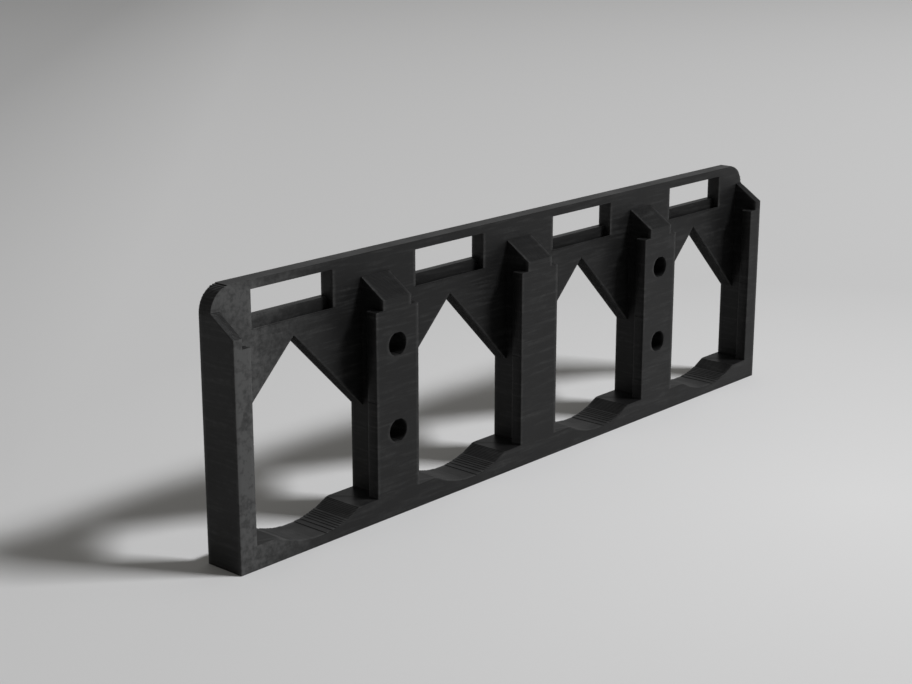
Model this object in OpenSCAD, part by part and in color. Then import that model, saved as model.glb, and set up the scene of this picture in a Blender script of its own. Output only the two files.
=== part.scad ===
// Wall holder for a row of slide-in tool batteries, printed in one piece.
// Units are mm. X runs along the row, Z is up and the wall side faces +Y.
// The origin is the middle of the footprint, on the surface it stands on.

/* [Body] */
// Height of the holder
body_h = 60; // [52:1:90]
// Depth of the posts and of the bottom rail, front face to wall face
body_t = 10.5; // [9.5:0.1:16]
// Radius of the two upper corners
corner_r = 5.6; // [3:0.1:9]

/* [Bays] */
// Number of bays in the row
bay_count = 4; // [4:2:6]
// Clear width of a bay between its two side walls
bay_w = 40.4; // [36:0.1:44]
// Width of a post between two bays, without its lips
post_w = 9; // [8:0.1:16]
// Width of the wall outside the first bay and outside the last one
end_wall = 2.45; // [2:0.05:6]

/* [Back plate] */
// Thickness of the plate behind the bays
plate_t = 3.8; // [3:0.1:5]
// Plate left between a latch pocket and the point of the window under it
web_h = 3.8; // [2:0.1:6]

/* [Post tops] */
// How far below the top edge the sloping post tops meet the plate
post_drop = 5.1; // [3:0.1:8]
// How much a sloping post top rises from the front face to the plate
post_rise = 4.4; // [2:0.1:6]

/* [Rail lips] */
// How far a lip stands into the bay
lip_w = 2.25; // [1.5:0.05:4]
// Thickness of a lip behind the front face
lip_t = 3; // [2:0.1:4]
// How far below the front edge of the post top a lip ends
lip_drop = 2.3; // [0.5:0.1:6]

/* [Latch slots] */
// Plate left above the latch slots
top_strip = 2.1; // [1.5:0.1:4]
// Width of a latch slot
slot_w = 23.2; // [16:0.1:30]
// Height of a latch slot
slot_h = 6.2; // [4:0.1:8]
// Depth of the latch pocket under the slot, from the front of the plate
pocket_t = 1.9; // [1:0.1:2.5]
// How far the pocket reaches below the slot at the front of the plate
pocket_h = 2.2; // [1:0.1:4]
// How much the floor of the pocket falls towards its back
pocket_fall = 1; // [0:0.1:1.5]

/* [Bottom rail] */
// Height of the rail under the deepest point of the hollow
rail_z = 2.2; // [1.6:0.1:5]
// Depth of the round hollow
hollow_fall = 1.4; // [0.5:0.1:2]
// Half of the width of the hollow
hollow_x = 8; // [5:0.1:8.8]
// Flat strip between the hollow and the slope beside it
hollow_flat = 0.3; // [0.2:0.1:0.8]
// Rise of the slopes from the hollow to the ledges
slope_rise = 1.7; // [1:0.1:4]
// Half of the distance between the two ledges of a bay
ledge_x = 11.8; // [10:0.1:13.5]

/* [Screw holes] */
// Diameter of the plain screw holes
screw_d = 5.4; // [3:0.1:6.5]
// Height of the lower screw hole
screw_low_z = 20; // [12:0.5:22]
// How far below the front edge of the post top the upper hole is
screw_drop = 10.5; // [8:0.5:12]

/* [Hidden] */

pitch = bay_w + post_w;
body_w = bay_count * bay_w + (bay_count - 1) * post_w + 2 * end_wall;
mouth_w = bay_w - 2 * lip_w;

front_y = -body_t / 2;
back_y = body_t / 2;
plate_y = back_y - plate_t;
lip_y = front_y + lip_t;

post_back_z = body_h - post_drop;
post_front_z = post_back_z - post_rise;
lip_top_z = post_front_z - lip_drop;
screw_high_z = post_front_z - screw_drop;

slot_high_z = body_h - top_strip;
slot_low_z = slot_high_z - slot_h;
pocket_z = slot_low_z - pocket_h;
gable_z = pocket_z - web_h;
shoulder_z = gable_z - bay_w / 2;

hollow_z = rail_z + hollow_fall;
ledge_z = hollow_z + slope_rise;
hollow_r = (hollow_x * hollow_x + hollow_fall * hollow_fall) / (2 * hollow_fall);
slope_x = hollow_x + hollow_flat;
over = 1;

// Middle of bay number i
function bay_x(i) = (i - (bay_count - 1) / 2) * pitch;

// Extrudes a profile drawn in X and Z from y0 to y1
module along_y(y0, y1) {
    translate([0, y1, 0])
        rotate([90, 0, 0])
            linear_extrude(height = y1 - y0)
                children();
}

// Extrudes a profile drawn in Y and Z over a width w, half to each side
module along_x(w) {
    translate([-w / 2, 0, 0])
        rotate([90, 0, 90])
            linear_extrude(height = w)
                children();
}

// Outline of the whole holder seen from the front
module outline() {
    translate([-body_w / 2, 0])
        square([body_w, body_h - corner_r]);
    translate([-body_w / 2 + corner_r, 0])
        square([body_w - 2 * corner_r, body_h]);
    for (side = [-1, 1])
        translate([side * (body_w / 2 - corner_r), body_h - corner_r])
            circle(r = corner_r, $fn = 96);
}

// Space over the ledges and the slopes between them, w wide and up to height top
module over_rail(w, top) {
    polygon([
        [w / 2, ledge_z], [w / 2, top], [-w / 2, top], [-w / 2, ledge_z],
        [-ledge_x, ledge_z], [-slope_x, hollow_z], [slope_x, hollow_z], [ledge_x, ledge_z]
    ]);
}

// Gable shaped window through the plate
module window() {
    over_rail(bay_w, shoulder_z);
    polygon([[-bay_w / 2, shoulder_z], [bay_w / 2, shoulder_z], [0, gable_z]]);
}

// Shallow round hollow in the top of the rail, with its cut ending over the flat strips
module hollow() {
    reach = hollow_x + hollow_flat / 2;
    intersection() {
        translate([0, back_y + over, rail_z + hollow_r])
            rotate([90, 0, 0])
                cylinder(r = hollow_r, h = body_t + 2 * over, $fn = 180);
        translate([-reach, front_y - over, rail_z - over])
            cube([2 * reach, body_t + 2 * over, hollow_fall + 2 * over]);
    }
}

// Latch slot through the plate, with a pocket under it for the latch
module latch_slot() {
    translate([-slot_w / 2, plate_y - over, slot_low_z])
        cube([slot_w, plate_t + 2 * over, slot_h]);
    along_x(slot_w)
        polygon([
            [plate_y, pocket_z], [plate_y + pocket_t, pocket_z - pocket_fall],
            [plate_y + pocket_t, slot_low_z], [plate_y + pocket_t, slot_high_z],
            [plate_y, slot_high_z]
        ]);
}

// Everything taken out of one bay
module bay_space() {
    along_y(lip_y, plate_y)
        over_rail(bay_w, body_h + over);
    along_y(front_y - over, lip_y) {
        over_rail(mouth_w, body_h + over);
        translate([-bay_w / 2, lip_top_z])
            square([bay_w, body_h + over - lip_top_z]);
    }
    along_y(plate_y, back_y + over)
        window();
    hollow();
    latch_slot();
}

// Room in front of the plate, over the sloping tops of the posts
module above_posts() {
    along_x(body_w + 2 * over)
        polygon([
            [front_y - over, post_front_z], [front_y, post_front_z], [plate_y, post_back_z],
            [plate_y, body_h + over], [front_y - over, body_h + over]
        ]);
}

// Two screw holes in every second post
module screw_holes() {
    for (i = [0 : 2 : bay_count - 2], z = [screw_low_z, screw_high_z])
        translate([(bay_x(i) + bay_x(i + 1)) / 2, back_y + over, z])
            rotate([90, 0, 0])
                cylinder(d = screw_d, h = body_t + 2 * over, $fn = 64);
}

// The printed body
module holder() {
    color([0.05, 0.05, 0.055])
        difference() {
            along_y(front_y, back_y)
                outline();
            for (i = [0 : bay_count - 1])
                translate([bay_x(i), 0, 0])
                    bay_space();
            above_posts();
            screw_holes();
        }
}

holder();
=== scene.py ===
"""Printed wall holder for tool batteries, on a pale floor under one soft lamp."""

import math

import bpy
import numpy as np
from bpy.props import FloatProperty, FloatVectorProperty, PointerProperty
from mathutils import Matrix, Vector
from mathutils.geometry import delaunay_2d_cdt


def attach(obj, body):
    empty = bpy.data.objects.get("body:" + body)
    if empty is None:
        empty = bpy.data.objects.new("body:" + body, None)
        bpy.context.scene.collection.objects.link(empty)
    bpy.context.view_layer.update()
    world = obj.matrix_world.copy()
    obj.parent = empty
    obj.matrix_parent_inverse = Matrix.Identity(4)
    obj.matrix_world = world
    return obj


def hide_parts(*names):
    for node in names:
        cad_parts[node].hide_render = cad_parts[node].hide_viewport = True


bl_info = {
    "name": "Tool battery holder",
    "version": (1, 0, 0),
    "blender": (4, 5, 0),
    "location": "3D View > Sidebar > Battery holder",
    "description": "Printed battery holder with its floor, lamp and camera",
    "category": "Object",
}

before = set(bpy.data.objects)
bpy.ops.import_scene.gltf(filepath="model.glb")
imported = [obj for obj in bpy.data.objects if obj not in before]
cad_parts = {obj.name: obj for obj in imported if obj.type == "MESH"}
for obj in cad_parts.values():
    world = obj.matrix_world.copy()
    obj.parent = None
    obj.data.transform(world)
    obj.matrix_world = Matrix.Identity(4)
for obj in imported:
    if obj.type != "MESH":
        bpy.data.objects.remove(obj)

MM = 0.001

# Where in its height a layer is cut, and the smallest step between walls, in layers
CUT_SHARE = 0.48
STEP_SHARE = 0.6
# Edges longer than this many bulge reaches bulge at their ends and get a painted highlight there
LONG_EDGE = 3.2
# Smallest turn at a corner and largest slant of a straight wall, in millimetres
SMALLEST_TURN = 1e-4
LARGEST_SLANT = 1e-3
# Distances in millimetres within which corners are one, or lie on an edge
SAME_PLACE = 1e-5
ON_EDGE = 2e-5
CHANCE_SEED = 7

# Where along the part the paler colour of the left end begins and is full, and the height it needs;
# it is partly dusty mottling and partly painted light on the front faces
DUST_AND_LIGHT_BEGINS = -0.062
DUST_AND_LIGHT_FULL = -0.098
DUST_AND_LIGHT_HEIGHT = 0.022

# Painted pool of light on the floor: its brightest place and its reach, and where the painted shade
# of the far left begins and is full
BRIGHT_PLACE = (0.03, -0.08, 0)
BRIGHT_REACH = 0.21
TOWARDS_FRONT_RIGHT = (0.7071, -0.7071, 0)
FAR_BEGINS = -0.12
FAR_FULL = -0.26
FLOOR_REACH = 6
FLOOR_GAP = 0.05 * MM

# Direction from the holder to the lamp, and the place at which the lamp aims
TOWARDS_LAMP = Vector((0.4076, -0.5468, 0.7314))
LAMP_AIM = Vector((0, 0, 0.02))

# Place and direction of the camera, in metres and radians, and half a pixel of its frame
CAMERA_PLACE = (-0.31865, -0.26279, 0.14495)
CAMERA_AZIMUTH = 0.84212
CAMERA_TILT = 0.27401
HALF_PIXEL = 0.5 / 912


class HolderPrintSettings(bpy.types.PropertyGroup):
    """Colour and surface of the printed plastic"""

    filament_color: FloatVectorProperty(
        name="Filament colour", description="Colour of the black filament",
        default=(0.0085, 0.0085, 0.0086), size=3, min=0, max=1, subtype='COLOR')
    layer_height: FloatProperty(
        name="Layer height", description="Height of one printed layer",
        default=0.2 * MM, min=0.1 * MM, max=0.4 * MM, unit='LENGTH', precision=4)
    edge_round: FloatProperty(
        name="Edge rounding", description="Rounding that the nozzle leaves on every edge",
        default=0.22 * MM, min=0.05 * MM, max=0.5 * MM, unit='LENGTH', precision=4)
    bulge_reach: FloatProperty(
        name="Corner bulge", description="How far from a corner the plastic stands proud",
        default=1.1 * MM, min=0.5 * MM, max=2 * MM, unit='LENGTH', precision=4)
    groove_depth: FloatProperty(
        name="Groove depth", description="Depth of the grooves between two layers",
        default=0.06 * MM, min=0.01 * MM, max=0.1 * MM, unit='LENGTH', precision=5)
    flat_fall: FloatProperty(
        name="Flat fall", description="How far the flat faces stand back from the corners",
        default=0.03 * MM, min=0, max=0.06 * MM, unit='LENGTH', precision=5)
    unevenness: FloatProperty(
        name="Unevenness", description="Largest difference between one layer and the next",
        default=0.006 * MM, min=0, max=0.03 * MM, unit='LENGTH', precision=5)
    step_fall: FloatProperty(
        name="Step fall", description="Fall of a step's outer edge, as a share of a layer",
        default=0.45, min=0, max=0.49, subtype='FACTOR')
    # Strength of the painted highlight: the upright edges are painted paler where the lamp's glints
    # would show
    edge_highlight: FloatProperty(
        name="Edge wear", description="How strongly the upright edges are rubbed pale",
        default=0.28, min=0, max=1, subtype='FACTOR')
    # Painted sheen: the streaks are paler bands in the colour along the layers
    streaks: FloatProperty(
        name="Streaks", description="Strength of the level streaks along the layers",
        default=0.2, min=0, max=1, subtype='FACTOR')
    # Pale colour mixed in at the left end, which is partly dusty and partly painted light; the
    # painted edge highlights and sheen streaks use it as well
    dust_and_light_color: FloatVectorProperty(
        name="Dust_and_light colour", description="Colour of the fine dust and scuffs on the left end",
        default=(0.068, 0.0685, 0.068), size=3, min=0, max=1, subtype='COLOR')
    gloss: FloatProperty(
        name="Gloss", description="Strength of the reflections on the plastic",
        default=0.2, min=0, max=1, subtype='FACTOR')
    roughness: FloatProperty(
        name="Roughness", description="Roughness of the plastic",
        default=0.36, min=0, max=1, subtype='FACTOR')


class StageSettings(bpy.types.PropertyGroup):
    """Floor, lamp and camera"""

    floor_color: FloatVectorProperty(
        name="Floor colour", description="Colour of the pale floor",
        default=(0.62, 0.62, 0.62), size=3, min=0, max=1, subtype='COLOR')
    # The lit and shaded floor colours paint the lamp's pool of light and its fall-off onto the
    # floor
    floor_lit_color: FloatVectorProperty(
        name="Near floor colour", description="Colour of the floor in front of the holder",
        default=(0.77, 0.77, 0.77), size=3, min=0, max=1, subtype='COLOR')
    floor_shaded_color: FloatVectorProperty(
        name="Far floor colour", description="Colour of the floor at the far left",
        default=(0.47, 0.47, 0.47), size=3, min=0, max=1, subtype='COLOR')
    room_color: FloatVectorProperty(
        name="Room colour", description="Colour of the light from the room",
        default=(1, 0.98, 0.93), size=3, min=0, max=1, subtype='COLOR')
    lamp_color: FloatVectorProperty(
        name="Lamp colour", description="Colour of the light from the lamp",
        default=(0.98, 0.985, 1), size=3, min=0, max=1, subtype='COLOR')
    key_power: FloatProperty(
        name="Lamp power", description="Power of the soft lamp",
        default=84, min=0, unit='POWER')
    lamp_distance: FloatProperty(
        name="Lamp distance", description="Distance from the holder to the lamp",
        default=3, min=0.5, unit='LENGTH')
    lamp_width: FloatProperty(
        name="Lamp width", description="Width of the lamp",
        default=0.768, min=0.01, unit='LENGTH')
    lamp_height: FloatProperty(
        name="Lamp height", description="Height of the lamp's face",
        default=0.43, min=0.01, unit='LENGTH')
    light_left: FloatProperty(
        name="Light from the left", description="Strength of the room from the left side",
        default=0.1, min=0)
    light_right: FloatProperty(
        name="Light from the right", description="Strength of the room from the right side",
        default=0.5, min=0)
    light_front: FloatProperty(
        name="Light from the front", description="Strength of the room from the front",
        default=0.2, min=0)
    light_back: FloatProperty(
        name="Light from behind", description="Strength of the room from behind",
        default=0.25, min=0)
    light_top: FloatProperty(
        name="Light from above", description="Strength of the room from above",
        default=0.12, min=0)
    horizon: FloatProperty(
        name="Horizon", description="Tone of the room where it is seen or mirrored",
        default=0.32, min=0, max=1)
    lens: FloatProperty(
        name="Focal length", description="Focal length of the camera",
        default=69.54, min=20, max=200, unit='CAMERA')


def new_material(name):
    """Makes an empty node material and gives it back with its node tree."""
    material = bpy.data.materials.new(name)
    material.use_nodes = True
    material.node_tree.nodes.clear()
    return material, material.node_tree


def add_node(tree, kind, label, inputs=None, **settings):
    """Adds a node, sets its properties and its unlinked inputs."""
    node = tree.nodes.new(kind)
    node.label = label
    for name, value in settings.items():
        setattr(node, name, value)
    for name, value in (inputs or {}).items():
        node.inputs[name].default_value = value
    return node


def printed_plastic(settings):
    """Black filament with a grain, level streaks of painted sheen, an uneven sheen, painted edge
    highlights and a left end painted paler, partly dusty and partly painted light.
    """
    material, tree = new_material("printed_plastic")
    link = tree.links.new
    place = add_node(tree, 'ShaderNodeTexCoord', "Place on the part")
    parts = add_node(tree, 'ShaderNodeSeparateXYZ', "Along, across and up")
    link(place.outputs["Object"], parts.inputs["Vector"])

    grain = add_node(
        tree, 'ShaderNodeTexNoise', "Grain", {"Scale": 1800, "Detail": 3, "Roughness": 0.6})
    cloud = add_node(
        tree, 'ShaderNodeTexNoise', "Uneven sheen", {"Scale": 110, "Detail": 4, "Roughness": 0.6})
    specks = add_node(
        tree, 'ShaderNodeTexNoise', "Specks", {"Scale": 700, "Detail": 2, "Roughness": 0.7})
    for texture in (grain, cloud, specks):
        link(place.outputs["Object"], texture.inputs["Vector"])

    # Left end painted paler: partly dusty mottling, partly painted light, mostly on the front faces
    # and less low down
    end = add_node(
        tree, 'ShaderNodeMapRange', "Left end",
        {"From Min": DUST_AND_LIGHT_BEGINS, "From Max": DUST_AND_LIGHT_FULL, "To Min": 0, "To Max": 1},
        interpolation_type='SMOOTHSTEP')
    link(parts.outputs["X"], end.inputs["Value"])
    low = add_node(
        tree, 'ShaderNodeMapRange', "Less dust low down",
        {"From Min": 0, "From Max": DUST_AND_LIGHT_HEIGHT, "To Min": 0.55, "To Max": 1})
    by_height = add_node(tree, 'ShaderNodeMath', "Dust_and_light by its height", operation='MULTIPLY')
    link(parts.outputs["Z"], low.inputs["Value"])
    link(end.outputs["Result"], by_height.inputs[0])
    link(low.outputs["Result"], by_height.inputs[1])
    # Painted light: mostly the faces turned to the front are made paler at the left end
    surface = add_node(tree, 'ShaderNodeNewGeometry', "Surface direction")
    facing = add_node(
        tree, 'ShaderNodeVectorMath', "Facing the front", {1: (0, -1, 0)},
        operation='DOT_PRODUCT')
    front = add_node(
        tree, 'ShaderNodeMapRange', "Front faces",
        {"From Min": 0.2, "From Max": 0.8, "To Min": 0.05, "To Max": 1})
    link(surface.outputs["True Normal"], facing.inputs[0])
    link(facing.outputs["Value"], front.inputs["Value"])
    on_front = add_node(tree, 'ShaderNodeMath', "Dust_and_light on the front", operation='MULTIPLY')
    link(by_height.outputs["Value"], on_front.inputs[0])
    link(front.outputs["Result"], on_front.inputs[1])
    patchy = add_node(
        tree, 'ShaderNodeMapRange', "Patchy dust",
        {"From Min": 0.3, "From Max": 0.62, "To Min": 0.55, "To Max": 1.15})
    link(cloud.outputs["Fac"], patchy.inputs["Value"])
    speckled = add_node(
        tree, 'ShaderNodeMapRange', "Speckled dust",
        {"From Min": 0.35, "From Max": 0.65, "To Min": 0.55, "To Max": 1.35})
    link(specks.outputs["Fac"], speckled.inputs["Value"])
    dust_and_light = add_node(tree, 'ShaderNodeMath', "Patches of dust", operation='MULTIPLY')
    link(on_front.outputs["Value"], dust_and_light.inputs[0])
    link(patchy.outputs["Result"], dust_and_light.inputs[1])

    # Painted sheen: noise drawn out along the layers paints paler level streaks, added to the
    # painted edge highlights
    level = add_node(
        tree, 'ShaderNodeMapping', "Drawn out along the layers", {"Scale": (110, 110, 1300)})
    beads = add_node(
        tree, 'ShaderNodeTexNoise', "Uneven beads", {"Scale": 1, "Detail": 3, "Roughness": 0.55})
    streaks = add_node(
        tree, 'ShaderNodeMapRange', "Streaks",
        {"From Min": 0.5, "From Max": 0.72, "To Min": 0, "To Max": settings.streaks})
    # Painted highlight: corners along long upright edges are painted paler, in place of the lamp's
    # glints on the beads
    highlit = add_node(tree, 'ShaderNodeAttribute', "Highlit edges", attribute_name="edge_highlight")
    lightened = add_node(
        tree, 'ShaderNodeMath', "Streaks and worn edges", {1: settings.edge_highlight},
        operation='MULTIPLY_ADD')
    link(place.outputs["Object"], level.inputs["Vector"])
    link(level.outputs["Vector"], beads.inputs["Vector"])
    link(beads.outputs["Fac"], streaks.inputs["Value"])
    link(highlit.outputs["Fac"], lightened.inputs[0])
    link(streaks.outputs["Result"], lightened.inputs[2])
    # Adds the left end's paleness to the painted sheen streaks and edge highlights
    pale = add_node(tree, 'ShaderNodeMath', "Dust_and_light and wear", operation='ADD')
    link(dust_and_light.outputs["Value"], pale.inputs[0])
    link(lightened.outputs["Value"], pale.inputs[1])
    amount = add_node(
        tree, 'ShaderNodeMath', "Speckled together", operation='MULTIPLY', use_clamp=True)
    link(pale.outputs["Value"], amount.inputs[0])
    link(speckled.outputs["Result"], amount.inputs[1])
    color = add_node(
        tree, 'ShaderNodeMix', "Plastic and dust",
        {"A": (*settings.filament_color, 1), "B": (*settings.dust_and_light_color, 1)},
        data_type='RGBA')
    link(amount.outputs["Value"], color.inputs["Factor"])

    sheen = add_node(
        tree, 'ShaderNodeMapRange', "Sheen",
        {"From Min": 0.3, "From Max": 0.7,
         "To Min": settings.roughness - 0.05, "To Max": settings.roughness + 0.07})
    link(cloud.outputs["Fac"], sheen.inputs["Value"])
    relief = add_node(
        tree, 'ShaderNodeBump', "Grain relief", {"Strength": 0.3, "Distance": 0.02 * MM})
    link(grain.outputs["Fac"], relief.inputs["Height"])

    shader = add_node(
        tree, 'ShaderNodeBsdfPrincipled', "Plastic",
        {"IOR": 1.5, "Specular IOR Level": settings.gloss})
    link(color.outputs["Result"], shader.inputs["Base Color"])
    link(sheen.outputs["Result"], shader.inputs["Roughness"])
    link(relief.outputs["Normal"], shader.inputs["Normal"])
    output = add_node(tree, 'ShaderNodeOutputMaterial', "Surface")
    link(shader.outputs["BSDF"], output.inputs["Surface"])
    return material


def body_triangles(body):
    """Corners in millimetres and triangles of the body, with doubled corners joined."""
    mesh = body.data
    mesh.calc_loop_triangles()
    corners = np.empty(len(mesh.vertices) * 3)
    mesh.vertices.foreach_get("co", corners)
    corners = np.round(corners.reshape(-1, 3) / MM, 4)
    corners, place = np.unique(corners, axis=0, return_inverse=True)
    triangles = np.empty(len(mesh.loop_triangles) * 3, dtype=np.int32)
    mesh.loop_triangles.foreach_get("vertices", triangles)
    return corners, place.ravel()[triangles].reshape(-1, 3)


def outlines_at(corners, triangles, height):
    """Cuts the body level at one height and gives its outlines, with plastic on their left."""
    above = corners[triangles][:, :, 2] > height
    cut = above.any(axis=1) & ~above.all(axis=1)
    onward = {}
    for triangle, up in zip(triangles[cut].tolist(), above[cut].tolist()):
        for i, j in ((0, 1), (1, 2), (2, 0)):
            edge = (min(triangle[i], triangle[j]), max(triangle[i], triangle[j]))
            if up[i] and not up[j]:
                falling = edge
            if up[j] and not up[i]:
                rising = edge
        onward[falling] = rising
    outlines = []
    while onward:
        first, edge = onward.popitem()
        chain = [first]
        while edge != first:
            chain.append(edge)
            edge = onward.pop(edge)
        ends = corners[np.array(chain)]
        low, high = ends[:, 0], ends[:, 1]
        share = (height - low[:, 2]) / (high[:, 2] - low[:, 2])
        outlines.append(low[:, :2] + share[:, None] * (high[:, :2] - low[:, :2]))
    return outlines


def without_straight_points(outline):
    """Drops doubled points and points where the outline goes straight on or turns back."""
    points = [tuple(point) for point in outline]
    i = 0
    while i < len(points) and len(points) > 2:
        before, here, after = points[i - 1], points[i], points[(i + 1) % len(points)]
        turn = ((here[0] - before[0]) * (after[1] - here[1])
                - (here[1] - before[1]) * (after[0] - here[0]))
        if abs(turn) < SMALLEST_TURN:
            points.pop(i)
            i = max(i - 2, 0)
        else:
            i += 1
    return points if len(points) > 3 else []


def joined_steps(outlines, smallest):
    """Moves walls that stand closer than the smallest step onto one line, as a slicer does."""
    moved = [outline.copy() for outline in outlines]
    for axis in (0, 1):
        length = {}
        for outline in moved:
            along = np.roll(outline, -1, axis=0) - outline
            for place, step in zip(np.round(outline[:, axis], 3), along):
                if abs(step[axis]) < LARGEST_SLANT:
                    length[place] = length.get(place, 0) + abs(step[1 - axis])
        groups = []
        for place in sorted(length):
            if groups and place - groups[-1][-1] < smallest:
                groups[-1].append(place)
            else:
                groups.append([place])
        target = {}
        for group in groups:
            longest = max(group, key=length.get)
            target.update((place, longest) for place in group)
        for outline in moved:
            outline[:, axis] = [target.get(place, place) for place in np.round(outline[:, axis], 3)]
    kept = [without_straight_points(outline) for outline in moved]
    return [points for points in kept if points]


def nozzle_path(points, settings):
    """Rounds the corners of an outline and adds points where the corner bulges end.

    Gives each point with its direction out of the plastic, and tells whether the plastic
    bulges there, whether it is an inner corner and whether a painted highlight lies there.
    """
    outline = np.array(points)
    step = np.roll(outline, -1, axis=0) - outline
    length = np.linalg.norm(step, axis=1)
    along = step / length[:, None]
    outward = np.stack([along[:, 1], -along[:, 0]], axis=1)
    corner_round = settings.edge_round / MM
    bulge_reach = settings.bulge_reach / MM
    long_enough = LONG_EDGE * bulge_reach
    path = []
    for i in range(len(outline)):
        last, far = i - 1, (i + 1) % len(outline)
        outer = along[last][0] * along[i][1] - along[last][1] * along[i][0] > 0
        outer_far = along[i][0] * along[far][1] - along[i][1] * along[far][0] > 0
        setback = min(corner_round, length[last] / 3, length[i] / 3)
        wide, wide_before = length[i] > long_enough, length[last] > long_enough
        between = outward[last] + outward[i]
        if outer:
            nose = outline[i] - (along[last] - along[i]) * setback * (1 - math.sqrt(0.5))
            middle = between / np.linalg.norm(between)
            path.append(
                (outline[i] - along[last] * setback, outward[last], True, False, wide_before))
            path.append((nose, middle, True, False, wide or wide_before))
            path.append((outline[i] + along[i] * setback, outward[i], True, False, wide))
        else:
            mitre = between * 2 / (between @ between)
            path.append((outline[i], mitre, False, True, False))
        if wide and outer:
            path.append((outline[i] + along[i] * bulge_reach, outward[i], False, False, False))
        if wide and outer_far:
            path.append((outline[far] - along[i] * bulge_reach, outward[i], False, False, False))
    return path


def inside_any(points, edges):
    """Tells which points lie in the plastic of a layer, from the edges of its outlines."""
    if not len(edges):
        return np.zeros(len(points), dtype=bool)
    ax, ay = edges[:, 0, 0], edges[:, 0, 1]
    bx, by = edges[:, 1, 0], edges[:, 1, 1]
    px, py = points[:, 0, None], points[:, 1, None]
    spans = (ay > py) != (by > py)
    rise = np.where(by == ay, 1, by - ay)
    crossing = ax + (py - ay) * (bx - ax) / rise
    return (spans & (px < crossing)).sum(axis=1) % 2 == 1


class PrintedMesh:
    """Collects the corners and faces of the printed body while its layers are laid."""

    def __init__(self):
        self.corners = []
        self.faces = []
        self.inner = []
        self.highlit = []
        self.seam = []

    def add(self, points, heights, inner, highlit, seam):
        """Adds one ring of corners in millimetres and gives their numbers."""
        first = len(self.corners)
        heights = np.broadcast_to(heights, len(points))
        self.corners.extend((x * MM, y * MM, z * MM) for (x, y), z in zip(points, heights))
        self.inner.extend(inner)
        self.highlit.extend(highlit)
        self.seam.extend([seam] * len(points))
        return list(range(first, first + len(points)))

    def joint(self, below, above, height, fall):
        """Joins two layers, and closes what only one of them covers with a face.

        The outer edge of a step falls by the given amount, unless it runs on into an edge
        that both layers share. Gives for every ring of either layer the chains of corners
        along its edges.
        """
        points, edges, inner, highlit = [], [], [], []
        for ring in below + above:
            first = len(points)
            points.extend(ring["groove"])
            inner.extend(ring["inner"])
            highlit.extend(ring["highlit"])
            count = len(ring["groove"])
            edges.extend((first + i, first + (i + 1) % count) for i in range(count))
        found, _, triangles, origin, _, _ = delaunay_2d_cdt(
            [Vector(point) for point in points], edges, [], 0, SAME_PLACE, True)
        found = np.array([tuple(point) for point in found])

        starts = np.array([points[a] for a, _ in edges])
        spans = np.array([points[b] for _, b in edges]) - starts
        size = np.linalg.norm(spans, axis=1)
        off = found[None, :, :] - starts[:, None, :]
        along = (off * spans[:, None, :]).sum(axis=2) / size[:, None]
        aside = np.abs(off[:, :, 0] * spans[:, None, 1] - off[:, :, 1] * spans[:, None, 0])
        on_edge = ((aside / size[:, None] < ON_EDGE) & (along > -ON_EDGE)
                   & (along < size[:, None] + ON_EDGE))
        split = sum(len(ring["groove"]) for ring in below)
        on_below, on_above = on_edge[:split].any(axis=0), on_edge[split:].any(axis=0)
        shared = (on_edge[:split] & on_above).any(axis=1)
        held = on_edge[:split][shared].any(axis=0)
        sides = [{i < split for i in source} for source in origin]
        lone = [both and len(side) < 2 for both, side in zip(on_below & on_above, sides)]
        # Corners that get the painted edge highlight
        lightened = [
            bool(source) and all(highlit[i] for i in source) and not alone
            for source, alone in zip(origin, lone)]
        numbers = self.add(
            found, height - np.where(on_below & ~held, fall, 0),
            [any(inner[i] for i in source) for source in origin], lightened, True)
        chains, rest = [], 0
        for ring in below + above:
            ring_chains = []
            for edge in range(rest, rest + len(ring["groove"])):
                hits = np.flatnonzero(on_edge[edge])
                ring_chains.append([numbers[i] for i in hits[np.argsort(along[edge, hits])]])
            rest += len(ring["groove"])
            chains.append(ring_chains)

        centres = found[np.array(triangles)].mean(axis=1)
        ends = np.stack([starts, starts + spans], axis=1)
        in_below = inside_any(centres, ends[:split])
        in_above = inside_any(centres, ends[split:])
        for triangle, lower, upper in zip(triangles, in_below, in_above):
            if lower != upper:
                face = [numbers[i] for i in triangle]
                self.faces.append(face if lower else face[::-1])
        return chains[:len(below)], chains[len(below):]

    def wall(self, low, crest, high):
        """Adds the two strips of one bead, between its grooves and its crest."""
        count = len(crest)
        for i in range(count):
            here, there = crest[i], crest[(i + 1) % count]
            self.faces.append(low[i] + [there, here])
            self.faces.append([here, there] + high[i][::-1])


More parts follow.
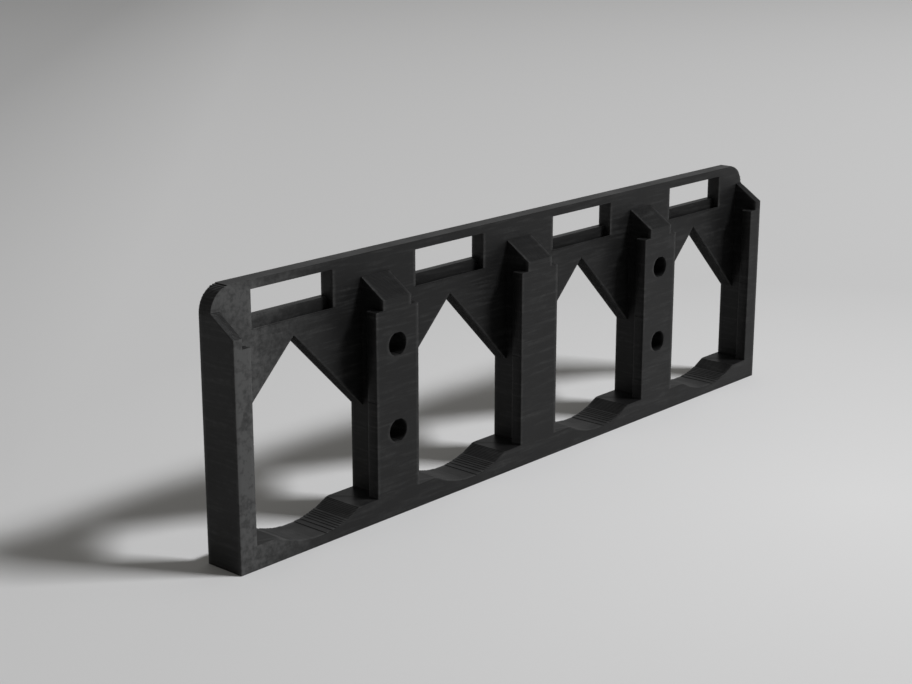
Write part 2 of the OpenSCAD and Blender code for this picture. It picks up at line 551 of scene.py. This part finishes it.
def print_layers(body, settings):
    """Lays the body down again in printed layers and gives the mesh of their beads."""
    layer = settings.layer_height / MM
    groove = settings.groove_depth / MM
    flat = settings.flat_fall / MM
    unevenness = settings.unevenness / MM
    corners, triangles = body_triangles(body)
    layer_count = round(corners[:, 2].max() / layer)
    chance = np.random.default_rng(CHANCE_SEED)

    layers, shapes = [], []
    for k in range(layer_count):
        cut = outlines_at(corners, triangles, (k + CUT_SHARE) * layer)
        shape = joined_steps(cut, STEP_SHARE * layer)
        shapes.append(sorted(shape))
        rings = []
        wander = chance.uniform(0, unevenness)
        for points in shapes[-1]:
            path = nozzle_path(points, settings)
            place = np.array([spot[0] for spot in path])
            outward = np.array([spot[1] for spot in path])
            bulge = np.array([spot[2] for spot in path])
            fall = np.where(bulge, 0, flat) + wander + chance.uniform(0, unevenness, len(path))
            rings.append({
                "groove": np.round(place - outward * groove, 5),
                "crest": place - outward * fall[:, None],
                "inner": [spot[3] for spot in path],
                "highlit": [spot[4] for spot in path]})
        layers.append(rings)

    built = PrintedMesh()
    _, low = built.joint([], layers[0], 0, 0)
    for k, rings in enumerate(layers):
        top = (k + 1) * layer
        if k + 1 == layer_count:
            high, above = built.joint(rings, [], top, 0)
        elif shapes[k] == shapes[k + 1]:
            high = []
            for ring in rings:
                numbers = built.add(ring["groove"], top, ring["inner"], ring["highlit"], True)
                high.append([[a, b] for a, b in zip(numbers, numbers[1:] + numbers[:1])])
            above = high
        else:
            high, above = built.joint(rings, layers[k + 1], top, settings.step_fall * layer)
        for ring, low_chains, high_chains in zip(rings, low, high):
            crest = built.add(
                ring["crest"], top - layer / 2, ring["inner"], ring["highlit"], False)
            built.wall(low_chains, crest, high_chains)
        low = above
    return built


class BATTERYHOLDER_OT_print_holder(bpy.types.Operator):
    """Prints the holder's body layer by layer, with rounded beads and corner bulges"""

    bl_idname = "batteryholder.print_holder"
    bl_label = "Print the holder"

    def execute(self, context):
        settings = context.scene.battery_holder_print
        built = print_layers(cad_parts["holder"], settings)
        mesh = bpy.data.meshes.new("printed_holder")
        mesh.from_pydata(built.corners, [], built.faces)
        mesh.shade_smooth()
        ends = np.empty(len(mesh.edges) * 2, dtype=np.int32)
        mesh.edges.foreach_get("vertices", ends)
        ends = ends.reshape(-1, 2)
        seam, inner = np.array(built.seam), np.array(built.inner)
        sharp = seam[ends].all(axis=1) | inner[ends].all(axis=1)
        marks = mesh.attributes.new("sharp_edge", 'BOOLEAN', 'EDGE')
        marks.data.foreach_set("value", sharp)
        # Share of the painted edge highlight at each corner, read by the plastic's colour
        highlight_marks = mesh.attributes.new("edge_highlight", 'FLOAT', 'POINT')
        highlight_marks.data.foreach_set("value", np.array(built.highlit, dtype=np.float32))
        mesh.materials.append(printed_plastic(settings))
        holder = bpy.data.objects.new("printed_holder", mesh)
        context.scene.collection.objects.link(holder)
        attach(holder, "root")
        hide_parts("holder")
        return {'FINISHED'}


def pale_floor(settings):
    """Matt pale floor with a painted pool of light in front of the holder and painted shade towards
    the far left.
    """
    material, tree = new_material("pale_floor")
    link = tree.links.new
    place = add_node(tree, 'ShaderNodeTexCoord', "Place on the floor")
    # Painted pool of light around the bright place, and painted shade towards the far left
    away = add_node(
        tree, 'ShaderNodeVectorMath', "Distance from the bright place", {1: BRIGHT_PLACE},
        operation='DISTANCE')
    outer = add_node(
        tree, 'ShaderNodeMapRange', "Round the bright place",
        {"From Min": 0, "From Max": BRIGHT_REACH})
    middle = add_node(
        tree, 'ShaderNodeMix', "Bright and middle",
        {"A": (*settings.floor_lit_color, 1), "B": (*settings.floor_color, 1)},
        data_type='RGBA')
    along = add_node(
        tree, 'ShaderNodeVectorMath', "Distance to the front right", {1: TOWARDS_FRONT_RIGHT},
        operation='DOT_PRODUCT')
    share = add_node(
        tree, 'ShaderNodeMapRange', "Towards the far left",
        {"From Min": FAR_BEGINS, "From Max": FAR_FULL})
    color = add_node(
        tree, 'ShaderNodeMix', "Floor colour", {"B": (*settings.floor_shaded_color, 1)},
        data_type='RGBA')
    shader = add_node(
        tree, 'ShaderNodeBsdfPrincipled', "Paper",
        {"Roughness": 0.9, "Specular IOR Level": 0.1})
    output = add_node(tree, 'ShaderNodeOutputMaterial', "Surface")
    link(place.outputs["Object"], away.inputs[0])
    link(away.outputs["Value"], outer.inputs["Value"])
    link(outer.outputs["Result"], middle.inputs["Factor"])
    link(middle.outputs["Result"], color.inputs["A"])
    link(place.outputs["Object"], along.inputs[0])
    link(along.outputs["Value"], share.inputs["Value"])
    link(share.outputs["Result"], color.inputs["Factor"])
    link(color.outputs["Result"], shader.inputs["Base Color"])
    link(shader.outputs["BSDF"], output.inputs["Surface"])
    return material


class BATTERYHOLDER_OT_lay_floor(bpy.types.Operator):
    """Lays the pale floor under the holder"""

    bl_idname = "batteryholder.lay_floor"
    bl_label = "Lay the floor"

    def execute(self, context):
        sides = ((-1, -1), (1, -1), (1, 1), (-1, 1))
        corners = [(x * FLOOR_REACH, y * FLOOR_REACH, 0) for x, y in sides]
        mesh = bpy.data.meshes.new("floor")
        mesh.from_pydata(corners, [], [(0, 1, 2, 3)])
        floor = bpy.data.objects.new("floor", mesh)
        floor.location.z = -FLOOR_GAP
        context.scene.collection.objects.link(floor)
        mesh.materials.append(pale_floor(context.scene.battery_holder_stage))
        return {'FINISHED'}


def room_light(settings):
    """Even light of the room, with its own strength from above and from each side."""
    world = bpy.data.worlds.new("room")
    world.use_nodes = True
    tree = world.node_tree
    tree.nodes.clear()
    link = tree.links.new
    place = add_node(tree, 'ShaderNodeTexCoord', "Direction")
    parts = add_node(tree, 'ShaderNodeSeparateXYZ', "Parts of the direction")
    link(place.outputs["Generated"], parts.inputs["Vector"])
    total = None
    sides = (
        ("X", -1, settings.light_left), ("X", 1, settings.light_right),
        ("Y", -1, settings.light_front), ("Y", 1, settings.light_back),
        ("Z", 1, settings.light_top))
    for axis, sign, strength in sides:
        towards = add_node(
            tree, 'ShaderNodeMath', "Towards this side", {1: sign},
            operation='MULTIPLY', use_clamp=True)
        share = add_node(tree, 'ShaderNodeMath', "Share of this side", {1: 2}, operation='POWER')
        light = add_node(
            tree, 'ShaderNodeMath', "Light from this side", {1: strength, 2: 0},
            operation='MULTIPLY_ADD')
        link(parts.outputs[axis], towards.inputs[0])
        link(towards.outputs["Value"], share.inputs[0])
        link(share.outputs["Value"], light.inputs[0])
        if total:
            link(total, light.inputs[2])
        total = light.outputs["Value"]
    light_path = add_node(tree, 'ShaderNodeLightPath', "Kind of ray")
    mirrored = add_node(tree, 'ShaderNodeMath', "Seen in gloss or glass", operation='MAXIMUM')
    seen = add_node(tree, 'ShaderNodeMath', "Seen at all", operation='MAXIMUM')
    strength = add_node(
        tree, 'ShaderNodeMix', "Pale where it is seen", {"B": settings.horizon},
        data_type='FLOAT')
    color = add_node(
        tree, 'ShaderNodeMix', "Neutral where it is seen",
        {"A": (*settings.room_color, 1), "B": (1, 1, 1, 1)}, data_type='RGBA')
    background = add_node(tree, 'ShaderNodeBackground', "Room")
    output = add_node(tree, 'ShaderNodeOutputWorld', "World")
    link(light_path.outputs["Is Glossy Ray"], mirrored.inputs[0])
    link(light_path.outputs["Is Transmission Ray"], mirrored.inputs[1])
    link(light_path.outputs["Is Camera Ray"], seen.inputs[0])
    link(mirrored.outputs["Value"], seen.inputs[1])
    link(seen.outputs["Value"], strength.inputs["Factor"])
    link(seen.outputs["Value"], color.inputs["Factor"])
    link(total, strength.inputs["A"])
    link(color.outputs["Result"], background.inputs["Color"])
    link(strength.outputs["Result"], background.inputs["Strength"])
    link(background.outputs["Background"], output.inputs["Surface"])
    return world


class BATTERYHOLDER_OT_set_lights(bpy.types.Operator):
    """Sets the soft lamp, the even light of the room and the plain view transform"""

    bl_idname = "batteryholder.set_lights"
    bl_label = "Set the lights"

    def execute(self, context):
        settings = context.scene.battery_holder_stage
        lamp = bpy.data.lights.new("soft_lamp", 'AREA')
        lamp.shape = 'RECTANGLE'
        lamp.size = settings.lamp_width
        lamp.size_y = settings.lamp_height
        lamp.energy = settings.key_power
        lamp.color = settings.lamp_color
        lamp_object = bpy.data.objects.new("soft_lamp", lamp)
        lamp_object.location = LAMP_AIM + settings.lamp_distance * TOWARDS_LAMP
        lamp_object.rotation_euler = TOWARDS_LAMP.to_track_quat('Z', 'Y').to_euler()
        context.scene.collection.objects.link(lamp_object)
        context.scene.world = room_light(settings)
        context.scene.view_settings.view_transform = 'Standard'
        return {'FINISHED'}


class BATTERYHOLDER_OT_place_camera(bpy.types.Operator):
    """Places the camera at the photograph's viewing angle"""

    bl_idname = "batteryholder.place_camera"
    bl_label = "Place the camera"

    def execute(self, context):
        forward = Vector((
            math.sin(CAMERA_AZIMUTH) * math.cos(CAMERA_TILT),
            math.cos(CAMERA_AZIMUTH) * math.cos(CAMERA_TILT),
            -math.sin(CAMERA_TILT)))
        data = bpy.data.cameras.new("camera")
        data.lens = context.scene.battery_holder_stage.lens
        data.sensor_fit = 'HORIZONTAL'
        data.sensor_width = 36
        data.shift_x = -HALF_PIXEL
        data.shift_y = HALF_PIXEL
        camera = bpy.data.objects.new("camera", data)
        camera.location = CAMERA_PLACE
        camera.rotation_euler = forward.to_track_quat('-Z', 'Y').to_euler()
        context.scene.collection.objects.link(camera)
        context.scene.camera = camera
        return {'FINISHED'}


class BATTERYHOLDER_PT_steps(bpy.types.Panel):
    """Lists the steps of the scene"""

    bl_idname = "BATTERYHOLDER_PT_steps"
    bl_label = "Battery holder"
    bl_space_type = 'VIEW_3D'
    bl_region_type = 'UI'
    bl_category = "Battery holder"

    def draw(self, context):
        for settings in (context.scene.battery_holder_print, context.scene.battery_holder_stage):
            for name in settings.__annotations__:
                self.layout.prop(settings, name)
        for step in STEPS:
            self.layout.operator(step.bl_idname)


STEPS = (
    BATTERYHOLDER_OT_print_holder,
    BATTERYHOLDER_OT_lay_floor,
    BATTERYHOLDER_OT_set_lights,
    BATTERYHOLDER_OT_place_camera,
)
CLASSES = (HolderPrintSettings, StageSettings, *STEPS, BATTERYHOLDER_PT_steps)


def register():
    """Registers the classes and the settings."""
    for cls in CLASSES:
        bpy.utils.register_class(cls)
    bpy.types.Scene.battery_holder_print = PointerProperty(type=HolderPrintSettings)
    bpy.types.Scene.battery_holder_stage = PointerProperty(type=StageSettings)


def unregister():
    """Removes the settings and the classes."""
    del bpy.types.Scene.battery_holder_stage
    del bpy.types.Scene.battery_holder_print
    for cls in reversed(CLASSES):
        bpy.utils.unregister_class(cls)


def main():
    """Runs the steps in order."""
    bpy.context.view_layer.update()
    register()
    bpy.ops.batteryholder.print_holder()
    bpy.ops.batteryholder.lay_floor()
    bpy.ops.batteryholder.set_lights()
    bpy.ops.batteryholder.place_camera()


if __name__ == "__main__":
    main()
